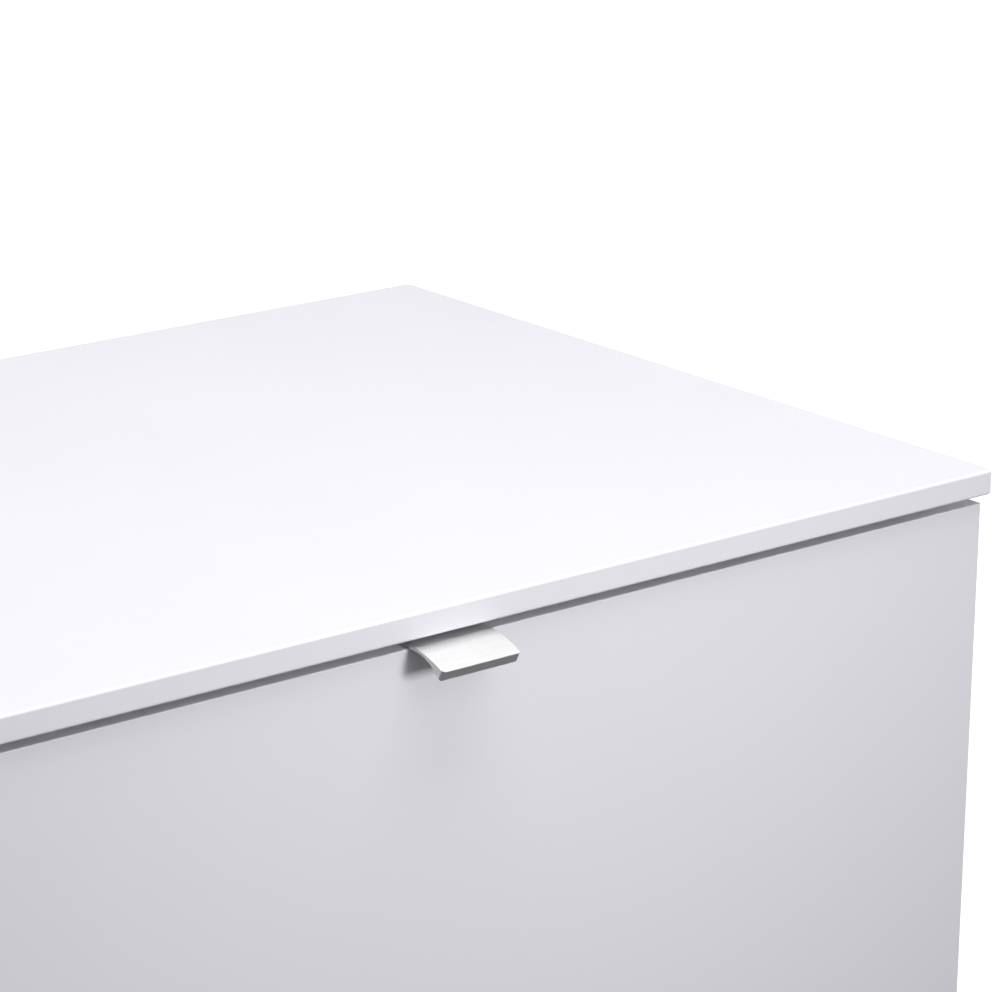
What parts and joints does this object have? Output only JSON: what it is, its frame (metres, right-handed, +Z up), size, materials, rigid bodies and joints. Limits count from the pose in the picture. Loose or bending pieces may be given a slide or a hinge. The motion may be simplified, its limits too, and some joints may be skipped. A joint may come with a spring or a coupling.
{
  "type": "wooden toy box",
  "caption": "Low white lacquered wooden toy box on castors, with an overhanging top-opening lid above a shadow gap and a short metal edge pull on its front.",
  "frame": {"origin": "on the floor under the middle of the whole object's bounding box", "axes": "+Z up; the front with the pull faces -Y; +X to the right as seen from the front, along the box's length"},
  "size_m": [0.808, 0.5933, 0.45],
  "materials": {
    "white_lacquer": "satin white lacquer over board",
    "satin_aluminium": "satin anodised",
    "hinge_steel": "brushed nickel plate",
    "plated_steel": "bright zinc plate",
    "cast_zinc": "die-cast zinc",
    "spring_steel": "blued spring steel, oiled",
    "white_plastic": "moulded, fine matt",
    "grey_plastic": "moulded nylon, matt",
    "soft_tread": "soft grey rubber",
    "clear_silicone": "translucent silicone",
    "beech": "fluted beech, unfinished"
  },
  "bodies": {
    "box": {"front_panel": "white_lacquer", "back_panel": "white_lacquer", "bottom_panel": "white_lacquer", "left_side_panel": "white_lacquer", "right_side_panel": "white_lacquer", "left_rim_bumpers": "clear_silicone", "right_rim_bumpers": "clear_silicone", "front_cam_locks": "cast_zinc", "front_cam_bolts": "plated_steel", "front_dowels": "beech", "back_cam_locks": "cast_zinc", "back_cam_bolts": "plated_steel", "back_dowels": "beech", "base_cam_locks": "cast_zinc", "base_cam_bolts": "plated_steel", "base_dowels": "beech", "cam_cover_caps": "white_plastic", "pull": "satin_aluminium", "pull_screws": "plated_steel", "hinge_left_body_leaf": "hinge_steel", "hinge_left_friction_clips": "spring_steel", "hinge_middle_body_leaf": "hinge_steel", "hinge_middle_friction_clips": "spring_steel", "hinge_right_body_leaf": "hinge_steel", "hinge_right_friction_clips": "spring_steel", "hinge_body_screws": "plated_steel", "castor_screws": "plated_steel", "castor_front_left_fork": "plated_steel", "castor_front_left_axle": "plated_steel", "castor_front_right_fork": "plated_steel", "castor_front_right_axle": "plated_steel", "castor_back_left_fork": "plated_steel", "castor_back_left_axle": "plated_steel", "castor_back_right_fork": "plated_steel", "castor_back_right_axle": "plated_steel"},
    "lid": {"lid_panel": "white_lacquer", "hinge_lid_screws": "plated_steel", "hinge_left_lid_leaf": "hinge_steel", "hinge_left_pin": "plated_steel", "hinge_middle_lid_leaf": "hinge_steel", "hinge_middle_pin": "plated_steel", "hinge_right_lid_leaf": "hinge_steel", "hinge_right_pin": "plated_steel"},
    "wheel_front_left": {"castor_front_left_hub": "grey_plastic", "castor_front_left_tread": "soft_tread"},
    "wheel_front_right": {"castor_front_right_hub": "grey_plastic", "castor_front_right_tread": "soft_tread"},
    "wheel_back_left": {"castor_back_left_hub": "grey_plastic", "castor_back_left_tread": "soft_tread"},
    "wheel_back_right": {"castor_back_right_hub": "grey_plastic", "castor_back_right_tread": "soft_tread"}
  },
  "joints": [
    {"name": "lid_hinge", "type": "hinge", "parent": "box", "child": "lid", "pos_m": [0, 0.29075, 0.4285], "axis": [-1, 0, 0], "range_deg": [0, 100]},
    {"name": "wheel_front_left_spin", "type": "hinge", "parent": "box", "child": "wheel_front_left", "pos_m": [-0.329, -0.19275, 0.02], "axis": [1, 0, 0], "continuous": true},
    {"name": "wheel_front_right_spin", "type": "hinge", "parent": "box", "child": "wheel_front_right", "pos_m": [0.329, -0.19275, 0.02], "axis": [1, 0, 0], "continuous": true},
    {"name": "wheel_back_left_spin", "type": "hinge", "parent": "box", "child": "wheel_back_left", "pos_m": [-0.329, 0.20725, 0.02], "axis": [1, 0, 0], "continuous": true},
    {"name": "wheel_back_right_spin", "type": "hinge", "parent": "box", "child": "wheel_back_right", "pos_m": [0.329, 0.20725, 0.02], "axis": [1, 0, 0], "continuous": true}
  ]
}
